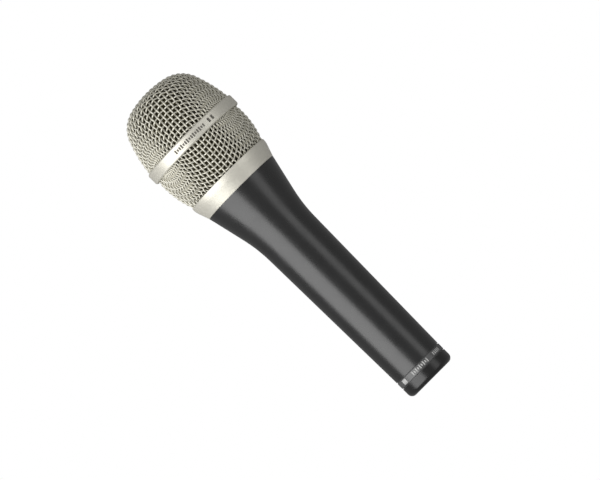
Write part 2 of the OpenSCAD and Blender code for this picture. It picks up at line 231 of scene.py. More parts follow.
class Look:
    """A node material under construction, on object coordinates in metres."""

    def __init__(self, name, color, roughness, metallic=0.0):
        self.material = bpy.data.materials.new(name)
        self.material.use_nodes = True
        self.tree = self.material.node_tree
        self.shader = self.tree.nodes["Principled BSDF"]
        self.set("Base Color", (*color, 1))
        self.set("Roughness", roughness)
        self.set("Metallic", metallic)
        self.color = color
        self.roughness = roughness
        self.place = self.node("ShaderNodeTexCoord").outputs["Object"]

    def set(self, socket, value):
        self.shader.inputs[socket].default_value = value

    def node(self, kind, **values):
        made = self.tree.nodes.new(kind)
        for key, value in values.items():
            setattr(made, key, value)
        return made

    def link(self, output, node_input):
        self.tree.links.new(output, node_input)

    def stretched(self, scale):
        """The place, scaled by a different amount along each axis."""
        mapping = self.node("ShaderNodeMapping")
        mapping.inputs["Scale"].default_value = scale
        self.link(self.place, mapping.inputs["Vector"])
        return mapping.outputs["Vector"]

    def noise(self, size, detail=3.0, stretch=(1, 1, 1), rough=0.55):
        """Noise from 0 to 1 whose features are about size metres wide."""
        texture = self.node("ShaderNodeTexNoise")
        texture.inputs["Scale"].default_value = 1 / size
        texture.inputs["Detail"].default_value = detail
        texture.inputs["Roughness"].default_value = rough
        self.link(self.stretched(stretch), texture.inputs["Vector"])
        return texture.outputs["Fac"]

    def math(self, operation, a, b):
        """Output a worked together with b, which is a number or an output."""
        node = self.node("ShaderNodeMath", operation=operation)
        self.link(a, node.inputs[0])
        if isinstance(b, float):
            node.inputs[1].default_value = b
        else:
            self.link(b, node.inputs[1])
        return node.outputs[0]

    def spread(self, source, low, high):
        """The middle part of a 0 to 1 noise, where most of it lies, carried to low to high."""
        node = self.node("ShaderNodeMapRange")
        node.inputs["From Min"].default_value = 0.3
        node.inputs["From Max"].default_value = 0.7
        node.inputs["To Min"].default_value = low
        node.inputs["To Max"].default_value = high
        self.link(source, node.inputs["Value"])
        return node.outputs["Result"]

    def mix(self, factor, a, b):
        """Colours a and b mixed; each is a tuple or an output."""
        node = self.node("ShaderNodeMix", data_type="RGBA")
        self.link(factor, node.inputs["Factor"])
        for name, value in (("A", a), ("B", b)):
            socket = next(s for s in node.inputs if s.name == name and s.type == "RGBA")
            if isinstance(value, tuple):
                socket.default_value = (*value, 1)
            else:
                self.link(value, socket)
        return next(s for s in node.outputs if s.type == "RGBA")

    def tint(self, source, amount):
        """The base colour, varied by up to the share amount, darker and lighter, with a 0 to 1 source."""
        dark = tuple(c * (1 - amount) for c in self.color)
        light = tuple(min(1, c * (1 + amount)) for c in self.color)
        self.link(self.mix(self.spread(source, 0, 1), dark, light), self.shader.inputs["Base Color"])

    def vary_roughness(self, source, amount):
        """The roughness, varied in the same way."""
        low, high = self.roughness * (1 - amount), self.roughness * (1 + amount)
        self.link(self.spread(source, low, high), self.shader.inputs["Roughness"])

    def bump(self, *layers):
        """Bumps stacked from (source, height in metres) pairs."""
        normal = None
        for source, height in layers:
            node = self.node("ShaderNodeBump")
            node.inputs["Strength"].default_value = 1
            node.inputs["Distance"].default_value = height
            self.link(source, node.inputs["Height"])
            if normal is not None:
                self.link(normal, node.inputs["Normal"])
            normal = node.outputs["Normal"]
        self.link(normal, self.shader.inputs["Normal"])


def cast_paint(name, color, roughness, specular=1.0):
    """Satin paint with the faint orange peel and grain of a sprayed casting."""
    look = Look(name, color, roughness)
    look.set("Specular IOR Level", specular)
    peel = look.noise(1.6 * MM, detail=2)
    grain = look.noise(0.18 * MM, detail=2)
    look.tint(look.noise(0.25 * MM, detail=2), 0.1)
    look.vary_roughness(look.noise(9 * MM, detail=3), 0.12)
    look.bump((peel, 0.016 * MM), (grain, 0.006 * MM))
    return look.material


def turned_metal(name, color, roughness, streak=0.03, height=0.004, metallic=1.0):
    """Satin metal with fine streaks round the axis, as a lathe leaves them, height millimetres deep."""
    look = Look(name, color, roughness, metallic)
    streaks = look.noise(4 * MM, detail=4, stretch=(1, 1, 60), rough=0.7)
    look.tint(look.noise(2.5 * MM, detail=3, stretch=(1, 1, 8)), streak)
    look.vary_roughness(look.noise(3 * MM, detail=3, stretch=(1, 1, 20)), 0.15)
    look.bump((streaks, height * MM), (look.noise(0.12 * MM, detail=2), 0.0015 * MM))
    return look.material


def drawn_wire(name, color, roughness, metallic=1.0):
    """Nickel-plated wire, with small dents and slightly uneven shine."""
    look = Look(name, color, roughness, metallic)
    look.tint(look.noise(1.8 * MM, detail=3), 0.07)
    look.vary_roughness(look.noise(1.2 * MM, detail=3), 0.2)
    look.bump((look.noise(0.35 * MM, detail=3), 0.008 * MM))
    return look.material


def moulded(name, color, roughness, grain=0.004):
    """Moulded plastic or rubber with a fine spark-eroded grain, grain millimetres deep."""
    look = Look(name, color, roughness)
    look.tint(look.noise(0.5 * MM, detail=3), 0.12)
    look.vary_roughness(look.noise(4 * MM, detail=3), 0.15)
    look.bump((look.noise(0.14 * MM, detail=3), grain * MM), (look.noise(2.2 * MM, detail=2), 0.01 * MM))
    return look.material


def plated(name, color, roughness, spots=0.08):
    """Bright plating with faint cloudiness."""
    look = Look(name, color, roughness, metallic=1.0)
    look.tint(look.noise(0.9 * MM, detail=4), spots)
    look.vary_roughness(look.noise(0.6 * MM, detail=3), 0.25)
    look.bump((look.noise(0.3 * MM, detail=3), 0.002 * MM))
    return look.material


def foam_look(name, color):
    """Open-cell foam: painted shade darkens the cells and painted light brightens the walls between them,
    over dimples from a bump.
    """
    look = Look(name, color, roughness=0.95)
    cell = 0.55 * MM
    cells = look.node("ShaderNodeTexVoronoi")
    cells.inputs["Scale"].default_value = 1 / cell
    look.link(look.place, cells.inputs["Vector"])
    pits = cells.outputs["Distance"]
    # Painted light and shade: a lit copy of the foam colour on the cell walls, a shaded copy in the pits
    pit_shade = look.spread(pits, 0.0, 1.0)
    pale = tuple(1.9 * c for c in color)
    deep = tuple(0.35 * c for c in color)
    look.link(look.mix(pit_shade, deep, pale), look.shader.inputs["Base Color"])
    look.bump((pits, 0.35 * MM), (look.noise(0.2 * MM, detail=3), 0.05 * MM))
    return look.material


def cloth_look(name, color, thread):
    """Plain fine weave of round threads, thread metres apart, with painted shade darkening the gaps between
    them.
    """
    look = Look(name, color, roughness=0.8)
    look.set("Sheen Weight", 0.3)
    band = 0.314  # how far apart a wave texture's bands are at a scale of 1
    ridges = []
    for across in ("X", "Y"):
        wave = look.node("ShaderNodeTexWave", wave_type="BANDS", bands_direction=across)
        wave.inputs["Scale"].default_value = band / thread
        wave.inputs["Distortion"].default_value = 0.4
        look.link(look.place, wave.inputs["Vector"])
        ridges.append(wave.outputs["Fac"])
    weave_height_and_shade = look.math("MAXIMUM", *ridges)
    # Painted shade: a darker copy of the cloth colour in the gaps between the threads
    look.link(look.mix(weave_height_and_shade, tuple(0.4 * c for c in color), color), look.shader.inputs["Base Color"])
    look.bump((weave_height_and_shade, thread * 0.3), (look.noise(0.1 * MM, detail=2), 0.01 * MM))
    return look.material


def felt_look(name, color):
    """Matted wool, with its fibres mostly lying flat."""
    look = Look(name, color, roughness=1.0)
    fibres = look.noise(0.25 * MM, detail=5, stretch=(1, 1, 3), rough=0.75)
    look.set("Sheen Weight", 0.5)
    look.tint(fibres, 0.45)
    look.bump((fibres, 0.12 * MM), (look.noise(1.5 * MM, detail=3), 0.1 * MM))
    return look.material


def film_look(name, color):
    """Thin clear polyester film, slightly amber."""
    look = Look(name, color, roughness=0.18)
    look.set("Transmission Weight", 0.35)
    look.set("Coat Weight", 0.4)
    look.tint(look.noise(2 * MM, detail=3), 0.1)
    look.bump((look.noise(1.4 * MM, detail=2), 0.01 * MM))
    return look.material


def enamelled(name, color):
    """Copper-coloured wire under clear enamel."""
    look = Look(name, color, roughness=0.28, metallic=0.85)
    look.set("Coat Weight", 0.6)
    look.set("Coat Roughness", 0.1)
    look.tint(look.noise(0.4 * MM, detail=3, stretch=(1, 1, 12)), 0.15)
    look.bump((look.noise(0.15 * MM, detail=2), 0.002 * MM))
    return look.material


PAINT = cast_paint("paint_dark_grey", (0.0075, 0.0076, 0.0077), 0.29)
RING_PAINT = cast_paint("paint_ring_grey", (0.075, 0.0755, 0.076), 0.38)
CAP_BLACK = cast_paint("paint_cap_black", (0.0055, 0.0055, 0.0056), 0.28, specular=0.75)
NICKEL = turned_metal("metal_champagne_nickel", (0.83, 0.805, 0.71), 0.45, metallic=0.55)
WIRE = drawn_wire("wire_champagne_nickel", (0.76, 0.74, 0.645), 0.48, metallic=0.7)
ALLOY = turned_metal("metal_turned_alloy", (0.58, 0.59, 0.60), 0.3, streak=0.05, height=0.008)
SHELL_PLATE = plated("metal_shell_plate", (0.62, 0.62, 0.62), 0.22)
GOLD = plated("metal_gold_plate", (0.83, 0.62, 0.27), 0.2)
TIN = plated("metal_tin_plate", (0.66, 0.66, 0.67), 0.34, spots=0.15)
SCREW = plated("metal_screw_black", (0.16, 0.16, 0.17), 0.4, spots=0.2)
YOKE = plated("metal_yoke_zinc", (0.5, 0.51, 0.53), 0.36, spots=0.12)
MAGNET = plated("metal_magnet", (0.28, 0.28, 0.30), 0.42, spots=0.2)
INSULATOR = moulded("plastic_insulator", (0.015, 0.015, 0.016), 0.45, grain=0.006)
CHAMBER = moulded("plastic_chamber", (0.028, 0.029, 0.032), 0.5, grain=0.008)
CAP_PALE = moulded("plastic_resonator", (0.62, 0.61, 0.58), 0.38)
BOARD = moulded("board_green", (0.02, 0.11, 0.045), 0.35, grain=0.01)
RUBBER = moulded("rubber_mount", (0.02, 0.02, 0.021), 0.68, grain=0.01)
RED = moulded("wire_red", (0.38, 0.02, 0.015), 0.42)
BLACK = moulded("wire_black", (0.015, 0.015, 0.016), 0.42)
GREEN = moulded("wire_green", (0.02, 0.17, 0.05), 0.42)
FOAM = foam_look("foam_liner", (0.055, 0.047, 0.020))
FELT = felt_look("felt_damping", (0.17, 0.16, 0.15))
FRONT_SILK = cloth_look("silk_front", (0.06, 0.06, 0.062), 0.16 * MM)
PORT_SILK = cloth_look("silk_ports", (0.13, 0.10, 0.065), 0.14 * MM)
FILM = film_look("film_diaphragm", (0.78, 0.68, 0.48))
COIL = enamelled("wire_coil", (0.62, 0.25, 0.09))
PALE_INK = moulded("ink_pale", (0.55, 0.55, 0.54), 0.45, grain=0.002)
DARK_INK = moulded("ink_dark", (0.15, 0.14, 0.12), 0.5, grain=0.002)

NODE_LOOKS = {
    "handle_shell": PAINT,
    "id_ring": RING_PAINT,
    "end_cap": CAP_BLACK,
    "connector_shell": SHELL_PLATE,
    "connector_insulator": INSULATOR,
    "contact_1": GOLD,
    "contact_2": GOLD,
    "contact_3": GOLD,
    "ground_spring": GOLD,
    "ground_tag": TIN,
    "set_screw": SCREW,
    "mount_ring": ALLOY,
    "rear_chamber": CHAMBER,
    "terminal_board": BOARD,
    "terminal_hot": TIN,
    "terminal_cold": TIN,
    "magnet_cup": YOKE,
    "magnet": MAGNET,
    "pole_disc": YOKE,
    "pole_ring": YOKE,
    "capsule_frame": ALLOY,
    "resonator_cap": CAP_PALE,
    "mid_band": NICKEL,
    "collar": NICKEL,
}


def dress_nodes():
    """Each CAD node that shows takes its material."""
    for name, look in NODE_LOOKS.items():
        piece = nodes[name]
        piece.data.materials.clear()
        piece.data.materials.append(look)


# ---------------------------------------------------------------- woven baskets


class Shell:
    """A surface of revolution from its pole outwards, laid out flat by (distance, bearing)."""

    def __init__(self, outline):
        steps = np.linalg.norm(np.diff(outline, axis=0), axis=1)
        outline = outline[np.r_[True, steps > TINY]]
        steps = np.linalg.norm(np.diff(outline, axis=0), axis=1)
        self.along = np.r_[0, np.cumsum(steps)]
        self.r, self.z = outline[:, 0], outline[:, 1]
        slope = np.gradient(outline, self.along, axis=0)
        self.slope = slope / np.linalg.norm(slope, axis=1)[:, None]
        self.outward = 1 if self.z[0] > self.z[-1] else -1

    def points(self, flat):
        """Places in space of flat places, which are measured from the pole."""
        q = np.linalg.norm(flat, axis=-1)
        way = flat / np.maximum(q, TINY)[..., None]
        r, z = np.interp(q, self.along, self.r), np.interp(q, self.along, self.z)
        return np.concatenate([r[..., None] * way, z[..., None]], -1)

    def normals(self, flat):
        """Outward directions at flat places."""
        q = np.linalg.norm(flat, axis=-1)
        way = flat / np.maximum(q, TINY)[..., None]
        dr = np.interp(q, self.along, self.slope[:, 0])
        dz = np.interp(q, self.along, self.slope[:, 1])
        out = -dz * self.outward
        return np.concatenate([out[..., None] * way, (dr * self.outward)[..., None]], -1)


def draped_net(shell, pitch, count):
    """Flat places of the crossings of a square net laid over a shell, count of them on each side of the pole.
    Two wires run straight down from the pole, and each further crossing lies one pitch from its two
    neighbours nearer the pole, which Newton's method finds in short steps. The pressing tool then stretches
    the cells that lean most, a step back towards the flat net. A crossing that isn't on the shell is NaN."""
    tries_allowed, longest_step, close = 12, 0.4 * pitch, 1e-3 * pitch
    net = np.full((count + 1, count + 1, 2), np.nan)
    for i in range(count + 1):
        net[i, 0] = (i * pitch, 0)
        net[0, i] = (0, i * pitch)
    reach = shell.along[-1]
    for i in range(1, count + 1):
        for j in range(1, count + 1):
            a, b, back = net[i - 1, j], net[i, j - 1], net[i - 1, j - 1]
            if np.isnan(a).any() or np.isnan(b).any():
                continue
            ends = shell.points(np.array([a, b]))
            guess = a + b - back
            for _ in range(tries_allowed):
                tries = guess + np.array([[0, 0], [close, 0], [0, close]])
                apart = np.linalg.norm(shell.points(tries)[:, None] - ends, axis=2) - pitch
                slope = (apart[1:] - apart[0]).T / close
                step = np.linalg.solve(slope, apart[0])
                guess = guess - step * min(1, longest_step / max(np.linalg.norm(step), TINY))
            if np.abs(apart[0]).max() < close and np.linalg.norm(guess) < reach:
                net[i, j] = guess
    flat_net = pitch * np.stack(np.meshgrid(*[np.arange(count + 1)] * 2, indexing="ij"), -1)
    net += NET_STRETCH * (flat_net - net)
    whole = np.full((2 * count + 1, 2 * count + 1, 2), np.nan)
    for si in (-1, 1):
        for sj in (-1, 1):
            for i in range(count + 1):
                for j in range(count + 1):
                    whole[count + si * i, count + sj * j] = net[i, j] * (si, sj)
    return whole


def woven(shell, kept, steps=4):
    """Points and faces of over-and-under wires along both sets of lines of a draped net.
    kept says, from the places in space, which parts of the wires stay."""
    net = draped_net(shell, PITCH, NET_SIDE)
    parts = []
    for turned_set in (False, True):
        lines = net.transpose(1, 0, 2) if turned_set else net
        for k in range(lines.shape[1]):
            line = lines[:, k]
            good = np.flatnonzero(~np.isnan(line[:, 0]))
            if len(good) < 4:
                continue
            line = line[good[0] : good[-1] + 1]
            if np.isnan(line).any():
                continue
            at = np.linspace(0, len(line) - 1, (len(line) - 1) * steps + 1)
            flat = spline(line, at)
            phase = at + good[0] + k + (1 if turned_set else 0)
            normals = shell.normals(flat)
            path = shell.points(flat) + normals * (WIRE_R * np.cos(math.pi * phase))[:, None]
            stays = np.flatnonzero(kept(path))
            for run in np.split(stays, np.flatnonzero(np.diff(stays) > 1) + 1):
                if len(run) >= 3:
                    parts.append(tube(path[run], normals[run], WIRE_R))
    return joined(parts)


def spline(points, at):
    """Catmull-Rom values of points at fractional indices."""
    i = np.clip(np.floor(at).astype(int), 0, len(points) - 2)
    t = (at - i)[:, None]
    a, b = points[np.maximum(i - 1, 0)], points[i]
    c, d = points[i + 1], points[np.minimum(i + 2, len(points) - 1)]
    return 0.5 * (2 * b + (c - a) * t + (2 * a - 5 * b + 4 * c - d) * t**2 + (3 * b - a - 3 * c + d) * t**3)


def meeting(a, ra, b, rb):
    """The point on the +r side that lies ra from a and rb from b."""
    gap = b - a
    d = np.linalg.norm(gap)
    u = gap / d
    along = (ra * ra - rb * rb + d * d) / (2 * d)
    return a + along * u + math.sqrt(ra * ra - along * along) * np.array([u[1], -u[0]])


def bearing(v):
    """The direction of a flat vector, in degrees."""
    return math.degrees(math.atan2(v[1], v[0]))


def dome_outline(inset):
    """The upper basket from its pole down to its rim and on below it, inset from the outside."""
    top_r, corner_r, side_r = 46 * MM, 15 * MM, 72 * MM
    widest_r, widest_z = RIM_R + 0.6 * MM, HEIGHT - 35.4 * MM
    below = HEIGHT - 60 * MM
    top = np.array([0, HEIGHT - top_r])
    side = np.array([widest_r - side_r, widest_z])
    corner = meeting(top, top_r - corner_r, side, side_r - corner_r)
    to_top, to_side = bearing(corner - top), bearing(corner - side)
    rim = math.degrees(math.acos((RIM_R - side[0]) / side_r))
    return np.concatenate(
        [
            arc(top, top_r - inset, 90, to_top, 60),
            arc(corner, corner_r - inset, to_top, to_side, 60),
            arc(side, side_r - inset, to_side, rim, 60),
            [[RIM_R - inset, below]],
        ]
    )


def bowl_side():
    """Centre and radius of the arc that the lower basket's wall follows."""
    side_r = 40 * MM
    widest_r, widest_z = RIM_R - 0.05 * MM, HEIGHT - 37.7 * MM
    return np.array([widest_r - side_r, widest_z]), side_r


def bowl_outline(inset):
    """The lower basket as the cup it is cut from: from a pole below the collar up to its rim and beyond."""
    side, side_r = bowl_side()
    corner_r, floor_r = 10 * MM, 45 * MM
    turn, rim = -28.0, 6.3  # degrees along the wall's arc, from its widest place
    beyond = HEIGHT - 5 * MM
    corner = side + polar(side_r - corner_r, turn)
    floor = np.array([0, corner[1] + math.sqrt((floor_r - corner_r) ** 2 - corner[0] ** 2)])
    to_floor = bearing(corner - floor)
    edge = arc(side, side_r - inset, turn, rim, 80)
    return np.concatenate(
        [
            arc(floor, floor_r - inset, -90, to_floor, 60),
            arc(corner, corner_r - inset, to_floor, turn, 60),
            edge,
            [[edge[-1][0], beyond]],
        ]
    )


def build_baskets():
    """Two layers of wire fill the baskets' thickness, so the net lies one wire's diameter under the skin."""
    inset = 2 * WIRE_R
    for name, outline in (("upper_basket", dome_outline(inset)), ("lower_basket", bowl_outline(inset))):
        lo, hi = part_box(name)
        wires = woven(Shell(outline), lambda p: (p[:, 2] > lo.z) & (p[:, 2] < hi.z))
        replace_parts(add_mesh(name + "_wire", *wires, "grille_head", WIRE, "grille_wire"), name)


# ---------------------------------------------------------------- foam, felt and cloth


def pitted(piece, cell, depth):
    """Sinks a dimple into the piece's skin for each cell of the foam."""
    mesh, dimple_r = piece.data, 0.6  # the dimple's radius is in cells
    normals = [v.normal.copy() for v in mesh.vertices]
    for v, normal in zip(mesh.vertices, normals):
        near = noise.voronoi(v.co / cell)[0][0]
        v.co -= normal * depth * max(0.0, 1 - (near / dimple_r) ** 2)


def build_foam():
    """Open-cell liners behind both baskets. They start where the CAD foam does, just inside the wire."""
    grid, segments, gap, thick = 0.42 * MM, 320, 2 * MM, 3 * MM
    cell, pit_depth, fill = 1.1 * MM, 0.3 * MM, 0.8
    shoulder = 0.5 * MM  # how far below the dome's curve the straight skirt starts
    lo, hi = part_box("upper_foam")
    out_r = hi.x
    skins = []
    for inset, edge_r in ((gap, out_r), (gap + thick, out_r - thick)):
        line = dome_outline(inset)[:-1]
        line = line[line[:, 0] < edge_r]
        skins.append(np.vstack([line, [[edge_r, line[-1][1] - shoulder], [edge_r, lo.z]]]))
    outline = np.vstack([resampled(skins[1], grid), resampled(skins[0], grid)[::-1]])
    # The upper liner goes with the basket that it fills, because its CAD body doesn't make the thread's rise.
    upper = spun("upper_foam_liner", outline, "grille_head", FOAM, "foam", segments=segments, closed=False)
    lo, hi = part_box("lower_foam")
    side, side_r = bowl_side()
    skins = []
    for inset in (gap, gap + thick):
        r = side_r - inset
        angles = [math.degrees(math.asin((z - side[1]) / r)) for z in (lo.z, hi.z)]
        skins.append(resampled(arc(side, r, *angles, 60), grid))
    outline = np.vstack([skins[0], skins[1][::-1]])
    lower = spun("lower_foam_liner", outline, "lower_liner", FOAM, "foam", segments=segments)
    for piece, node in ((upper, "upper_foam"), (lower, "lower_foam")):
        pitted(piece, cell, pit_depth)
        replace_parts(piece, node)


def disc_outline(r, bottom, top, edge, step):
    """A disc with a rounded edge, from the axis out along its lower face and back along its upper one."""
    foot = arc((r - edge, bottom + edge), edge, -90, 0, 4)
    brow = arc((r - edge, top - edge), edge, 0, 90, 4)
    lower = resampled(np.array([[0, bottom], foot[0]]), step)
    upper = resampled(np.array([brow[-1], [0, top]]), step)
    return np.vstack([lower, foot[1:], brow[:-1], upper])


def build_felt():
    """The damping pad in the rear chamber, with a tufted skin."""
    edge, grid, coarse, fine, tuft, fill = 0.4 * MM, 0.3 * MM, 0.5 * MM, 0.2 * MM, 0.06 * MM, 0.7
    lo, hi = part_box("chamber_felt")
    outline = disc_outline(hi.x, lo.z, hi.z, edge, grid)

    def fuzzy(verts):
        lift = [noise.noise(Vector(v) / coarse) + noise.noise(Vector(v) / fine) for v in verts]
        return verts + np.array(lift)[:, None] * np.array([0, 0, tuft])

    pad = spun("chamber_felt_pad", outline, "capsule", FELT, "felt", fuzzy, segments=180, closed=False)
    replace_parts(pad, "chamber_felt")


def build_front_cloth():
    """Fine silk glued over the resonator cap, which sinks a little into the cap's holes."""
    clear, edge, grid = 0.1 * MM, 0.07 * MM, 0.35 * MM
    sag, hole_r = 0.09 * MM, 0.75 * MM
    lo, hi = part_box("front_cloth")
    ring_1, ring_2 = [polar(5 * MM, 60 * k) for k in range(6)], [polar(10 * MM, 30 * k) for k in range(12)]
    holes = np.array([polar(0, 0), *ring_1, *ring_2])

    def dimpled(verts):
        near = np.linalg.norm(verts[:, None, :2] - holes, axis=2).min(1)
        sink = sag * np.exp(-((near / hole_r) ** 2))
        return verts - sink[:, None] * np.array([0, 0, 1])

    outline = disc_outline(hi.x, lo.z + clear, hi.z, edge, grid)
    front = spun("front_cloth_silk", outline, "capsule", FRONT_SILK, "front_silk", dimpled,
        segments=160, closed=False)
    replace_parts(front, "front_cloth")


def build_port_cloth():
    """Silk glued over the ports behind the capsule's frame. Its hole is cut small, and the hem turned back
    along the magnet cup."""
    clear, thick, hem, edge = 0.05 * MM, 0.2 * MM, 0.75 * MM, 0.09 * MM
    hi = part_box("rear_port_cloth")[1]
    cup_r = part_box("magnet_cup")[1].x + clear
    under = hi.z - thick
    corners = [
        [cup_r, under - hem], [cup_r + thick, under - hem], [cup_r + thick, under],
        [hi.x, under], [hi.x, hi.z], [cup_r, hi.z],
    ]
    rear = spun("rear_port_cloth_silk", rounded(corners, edge), "capsule", PORT_SILK, "port_silk")
    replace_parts(rear, "rear_port_cloth")


# ---------------------------------------------------------------- flexing parts


def bridged(name, outline, look, slot, node, shape=None):
    """A ring between a moving hub and a fixed rim, in sectors that each lie along their own bearing and ride
    on no body."""
    count, segments = 16, 10
    turn = 360 / count
    for k in range(count):
        piece = spun(f"{name}_{k + 1:02d}", outline, None, look, slot, shape,
            segments=segments, start=(k - 0.5) * turn, turn=turn)
        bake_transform(piece)
        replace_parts(piece, node)


def build_shock_mount():
    """Rubber: a hub that grips the rear chamber, a clamped rim, and a thin fold between them."""
    clear, hub_thick, rim_drop, fold_drop, web = 0.05 * MM, 1.3 * MM, 4 * MM, 1.5 * MM, 0.9 * MM
    hub_edge, rim_edge = 0.45 * MM, 0.3 * MM
    sunk = 0.12 * MM  # how far the fold's ends reach into the hub and the rim
    lo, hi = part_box("shock_mount")
    hub_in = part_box("rear_chamber")[1].x + clear
    hub_out = hub_in + hub_thick
    rim_in, rim_out = hi.x - CLAMPED_WIDTH, hi.x
    rim_lo = lo.z + rim_drop
    rim_hi = rim_lo + CLAMPED_HEIGHT
    slot = "mount_rubber"
    hub = [[hub_in, lo.z], [hub_out, lo.z], [hub_out, hi.z], [hub_in, hi.z]]
    rim = [[rim_in, rim_lo], [rim_out, rim_lo], [rim_out, rim_hi], [rim_in, rim_hi]]
    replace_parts(spun("shock_mount_hub", rounded(hub, hub_edge), "capsule", RUBBER, slot), "shock_mount")
    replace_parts(spun("shock_mount_rim", rounded(rim, rim_edge), "handle", RUBBER, slot), "shock_mount")
    centre = np.array([(hub_out + rim_in) / 2, rim_lo + fold_drop])
    fold_r = (rim_in - hub_out) / 2 + sunk
    fold = np.vstack([arc(centre, fold_r, 180, 360, 20), arc(centre + [0, web], fold_r, 360, 180, 20)])
    bridged("shock_mount_fold", fold, RUBBER, slot, "shock_mount")


def build_diaphragm():
    """Film: a dome that carries the coil, a surround with slanted corrugations, and a flat clamped rim."""
    coil_thick, land, clamp, headroom = 0.55 * MM, 0.65 * MM, 1 * MM, 0.2 * MM
    roll_h, waves, slant, wave_h = 0.9 * MM, 48, 0.5 / MM, 0.1 * MM
    lo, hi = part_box("diaphragm")
    coil_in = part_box("voice_coil")[1].x - coil_thick
    film, rise = 0.12 * MM, hi.z - lo.z - headroom
    land_r, clamp_r = coil_in + land, hi.x - clamp
    sphere_r = (coil_in**2 + rise**2) / (2 * rise)
    centre = (0, lo.z + rise - sphere_r)
    half = math.degrees(math.asin(coil_in / sphere_r))
    top = arc(centre, sphere_r + film, 90 - half, 90, 24)
    under = arc(centre, sphere_r, 90, 90 - half, 24)
    dome = np.vstack([under, [[land_r, lo.z], [land_r, lo.z + film]], top])
    piece = spun("diaphragm_dome", dome, "moving_coil", FILM, "film", closed=False)
    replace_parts(piece, "diaphragm")
    roll_r, mid_r = (clamp_r - land_r) / 2, (clamp_r + land_r) / 2
    a = np.radians(np.linspace(180, 0, 25))
    lower = np.stack([mid_r + roll_r * np.cos(a), lo.z + roll_h * np.sin(a)], 1)
    surround = np.vstack([lower, lower[::-1] + [0, film]])

    def corrugated(verts):
        r, turn = np.hypot(verts[:, 0], verts[:, 1]), np.arctan2(verts[:, 1], verts[:, 0])
        taper = np.clip(1 - ((r - mid_r) / roll_r) ** 2, 0, 1)
        return verts + (wave_h * taper * np.sin(waves * turn + slant * r))[:, None] * np.array([0, 0, 1])

    bridged("diaphragm_surround", surround, FILM, "film",
        "diaphragm", corrugated)
    rim = [[clamp_r, lo.z], [hi.x, lo.z], [hi.x, lo.z + film], [clamp_r, lo.z + film]]
    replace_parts(spun("diaphragm_rim", rim, "capsule", FILM, "film"), "diaphragm")


def build_voice_coil():
    """Two layers of enamelled wire, wound opposite ways."""
    lo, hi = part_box("voice_coil")
    wire_d, steps = 0.27 * MM, 56
    turns = int((hi.z - lo.z) / wire_d)
    rise = (hi.z - lo.z) / turns
    angles = np.linspace(0, 2 * math.pi * (turns - 1), steps * (turns - 1))
    layers = []
    for layer, way in enumerate((1, -1)):
        r = hi.x - (layer + 0.5) * wire_d
        out = np.stack([np.cos(angles), way * np.sin(angles), np.zeros(len(angles))], 1)
        climb = lo.z + rise / 2 + rise * angles / (2 * math.pi)
        layers.append(tube(r * out + climb[:, None] * np.array([0, 0, 1]), out, wire_d / 2, sides=8))
    coil = add_mesh("voice_coil_winding", *joined(layers), "moving_coil", COIL, "coil_wire")
    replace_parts(coil, "voice_coil")


def build_leads():
    """Insulated leads that bend between the connector and the capsule, and their solder."""
    for node, look, slot in (("lead_hot", RED, "red_wire"), ("lead_cold", BLACK, "black_wire")):
        lo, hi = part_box(node)
        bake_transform(smoothed_copy(node, look))
    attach(smoothed_copy("lead_ground", GREEN), "handle")
    cups, tabs = [], []
    for k in (1, 2, 3):
        lo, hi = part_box(f"contact_{k}")
        cups.append(bead((lo + hi) / 2, hi.z, radius=0.92 * MM, height=0.75 * MM))
    lo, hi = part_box("ground_tag")
    lead_end = Vector((hi.x + 0.35 * MM, (lo.y + hi.y) / 2))
    cups.append(bead(lead_end, hi.z - 1.1 * MM, radius=0.75 * MM, height=0.7 * MM))
    for node in ("terminal_hot", "terminal_cold"):
        lo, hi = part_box(node)
        tabs.append(bead((lo + hi) / 2, lo.z + 0.1 * MM, radius=0.95 * MM, height=0.9 * MM))
    weld(add_mesh("solder_connector", *joined(cups), "handle", TIN, "tinned_metal"))
    weld(add_mesh("solder_terminals", *joined(tabs), "capsule", TIN, "tinned_metal"))


def bead(place, z, radius, height):
    """Points and faces of a drop of solder, a little uneven, over a place at height z."""
    centre = Vector((place.x, place.y, z))
    verts, faces = lathe(arc((0, 0), 1, -90, 90, steps=14), segments=28, closed=False)
    lumps, grain = 0.12, 1.3
    uneven = [1 + lumps * noise.noise(Vector(v) * grain + centre / MM) for v in verts]
    return verts * np.array(uneven)[:, None] * (radius, radius, height) + np.array(centre), faces


def smoothed_copy(node, look):
    """A piece with a CAD node's shape, rounded by subdivision."""
    piece = nodes[node].copy()
    piece.data = nodes[node].data.copy()
    piece.name = node + "_insulated"
    piece.parent = None
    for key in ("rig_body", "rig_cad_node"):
        del piece[key]
    piece.hide_render = False
    piece.hide_viewport = False
    bpy.context.scene.collection.objects.link(piece)
    weld(piece)
    finer = piece.modifiers.new("finer", "SUBSURF")
    finer.levels = 2
    graph = bpy.context.evaluated_depsgraph_get()
    mesh = bpy.data.meshes.new_from_object(piece.evaluated_get(graph))
    piece.modifiers.clear()
    piece.data = mesh
    mesh.shade_smooth()
    mesh.materials.clear()
    mesh.materials.append(look)
    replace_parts(piece, node)
    return piece


# ---------------------------------------------------------------- thread and marks


